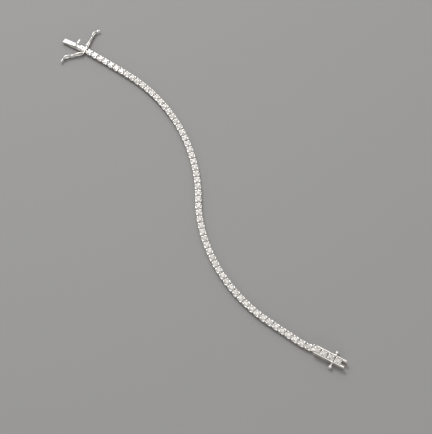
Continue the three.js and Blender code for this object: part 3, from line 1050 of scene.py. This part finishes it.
def model_stud(clasp):
    """A ball on a short post, with a collar and a pad where it meets the box. This is the left one."""
    wall = clasp.box_width / 2 / MM
    x, y, z = STUD["x"], STUD["y"], STUD["z"]
    half, top = STUD_PAD["half"], clasp.box_height / MM + STUD_PAD["rise"]
    pad_low = (x - half, wall - STUD_PAD["in"], STUD_PAD["low"])
    pad = add_block("pad", pad_low, (x + half, wall + STUD_PAD["out"], top))
    bevel(pad, 0.05, segments=2, angle=40)
    root = wall - STUD["root"]
    post = add_round("post", (x, root, z), (x, y, z), STUD["post"], sides=16)
    collar_end = (x, wall + STUD["collar_out"], z)
    collar = add_round("collar", (x, root, z), collar_end, STUD["collar"], sides=24)
    bevel(collar, 0.06, segments=2, angle=40)
    ball = add_ball("ball", mm(x, y, z), clasp.stud_ball)
    return join([ball, post, collar, pad], "stud")


def model_end_post(clasp):
    """The small rounded post that ends a rail at the mouth of the box. This is the left one."""
    x = clasp.box_length / MM - BOX_POST["inset"]
    y = clasp.box_width / 2 / MM - BOX_POST["inset"]
    top = clasp.box_height / MM + BOX_POST["rise"]
    post = add_round("post", (x, y, top - BOX_POST["depth"]), (x, y, top), BOX_POST["radius"], sides=20)
    bevel(post, 0.1, segments=3, angle=40)
    return post


def model_box_lug():
    """The lug that the last link's fork holds, with its root inside the end of the box."""
    half = HINGE["lug"]
    root_low = (BOX_ROOT["start"], -half, BOX_ROOT["low"])
    root = add_block("root", root_low, (BOX_ROOT["end"], half, BOX_ROOT["high"]))
    return add_lug(root, -BOX_HINGE_GAP, BOX_HINGE_GAP)


class BRACELET_OT_clasp_box(Operator):
    """Model the clasp box with its heads, end posts and ball studs"""

    bl_idname = "bracelet.clasp_box"
    bl_label = "Clasp box"

    def execute(self, context):
        clasp = context.scene.bracelet_clasp
        box = model_box_shell(clasp)
        weld(box, *both_sides(model_end_post(clasp)))
        lug = model_box_lug()
        head = model_box_head(context.scene.bracelet_links)
        lift = BOX_STONES["girdle"] - RIM_HEIGHT
        heads = [copy_at(head, Matrix.Translation(mm(x, 0, lift)), "head") for x in box_stone_places()]
        discard(head)
        whole = join([box, lug, *both_sides(model_stud(clasp)), *heads], "clasp_box_shell")
        whole.data.transform(box_matrix())
        finish_piece(whole, BODY, polished_gold(), "clasp_box")
        return {"FINISHED"}


class BRACELET_OT_box_stones(Operator):
    """Set the clasp box's four stones"""

    bl_idname = "bracelet.box_stones"
    bl_label = "Clasp box stones"

    def execute(self, context):
        stone = model_brilliant("stone", context.scene.bracelet_links.stone_radius)
        for number, x in enumerate(box_stone_places(), start=1):
            place = box_matrix() @ Matrix.Translation(mm(x, 0, BOX_STONES["girdle"]))
            piece = copy_at(stone, place, f"box_stone_{number}")
            tone_facets(piece, 100 + number)
            finish_piece(piece, BODY, diamond(), f"clasp_box_stone_{number}", smooth=0)
        discard(stone)
        return {"FINISHED"}


# ---------------------------------------------------------------- the studio


def add_light(name, light):
    """A round soft light that faces the bracelet."""
    bpy.ops.object.light_add(type="AREA", location=light["place"])
    lamp = bpy.context.object
    lamp.name = name
    lamp.data.shape = "DISK"
    lamp.data.size = light["size"]
    lamp.data.energy = light["energy"]
    lamp.rotation_euler = (-Vector(light["place"])).to_track_quat("-Z", "Y").to_euler()


def add_world():
    world = bpy.data.worlds.new("studio")
    world.use_nodes = True
    background = world.node_tree.nodes["Background"]
    background.inputs["Color"].default_value = (1, 1, 1, 1)
    background.inputs["Strength"].default_value = WORLD_STRENGTH
    bpy.context.scene.world = world


def add_camera():
    bpy.ops.object.camera_add(location=mm(CAMERA["x"], CAMERA["y"], CAMERA["z"]))
    camera = bpy.context.object
    camera.rotation_euler = (math.radians(90 - CAMERA["elevation"]), 0, 0)
    camera.data.lens = CAMERA["lens"]
    camera.data.sensor_width = 36
    camera.data.clip_start = 0.01
    camera.data.clip_end = 20
    bpy.context.scene.camera = camera


class BRACELET_OT_stage(Operator):
    """Lay the floor, hang the lights and place the camera"""

    bl_idname = "bracelet.stage"
    bl_label = "Studio"

    def execute(self, context):
        bpy.ops.mesh.primitive_plane_add(size=6.0, location=(0, 0, 0))
        floor = take("floor")
        floor.data.materials.append(studio_floor())
        add_light("softbox", SOFTBOX)
        add_light("key", KEY)
        add_light("fill", FILL)
        add_world()
        context.scene.view_settings.view_transform = "Standard"
        add_camera()
        return {"FINISHED"}


# ---------------------------------------------------------------- add-on


class BRACELET_PT_panel(Panel):
    """Lists the steps that build the bracelet"""

    bl_label = "Tennis Bracelet"
    bl_idname = "BRACELET_PT_panel"
    bl_space_type = "VIEW_3D"
    bl_region_type = "UI"
    bl_category = "Bracelet"

    def draw(self, context):
        for operator in OPERATORS:
            self.layout.operator(operator.bl_idname)


GROUPS = {
    "bracelet_links": BRACELET_PG_links,
    "bracelet_clasp": BRACELET_PG_clasp,
    "bracelet_finish": BRACELET_PG_finish,
}
OPERATORS = (
    BRACELET_OT_links,
    BRACELET_OT_stones,
    BRACELET_OT_end_link,
    BRACELET_OT_tongue,
    BRACELET_OT_catches,
    BRACELET_OT_clasp_box,
    BRACELET_OT_box_stones,
    BRACELET_OT_stage,
)


def register():
    for group in GROUPS.values():
        bpy.utils.register_class(group)
    for operator in OPERATORS:
        bpy.utils.register_class(operator)
    bpy.utils.register_class(BRACELET_PT_panel)
    for name, group in GROUPS.items():
        setattr(bpy.types.Scene, name, PointerProperty(type=group))


def unregister():
    for name in GROUPS:
        delattr(bpy.types.Scene, name)
    for kind in (BRACELET_PT_panel, *reversed(OPERATORS), *reversed(GROUPS.values())):
        bpy.utils.unregister_class(kind)


def main():
    register()
    bpy.ops.bracelet.links()
    bpy.ops.bracelet.stones()
    bpy.ops.bracelet.end_link()
    bpy.ops.bracelet.tongue()
    bpy.ops.bracelet.catches()
    bpy.ops.bracelet.clasp_box()
    bpy.ops.bracelet.box_stones()
    bpy.ops.bracelet.stage()


if __name__ == "__main__":
    main()
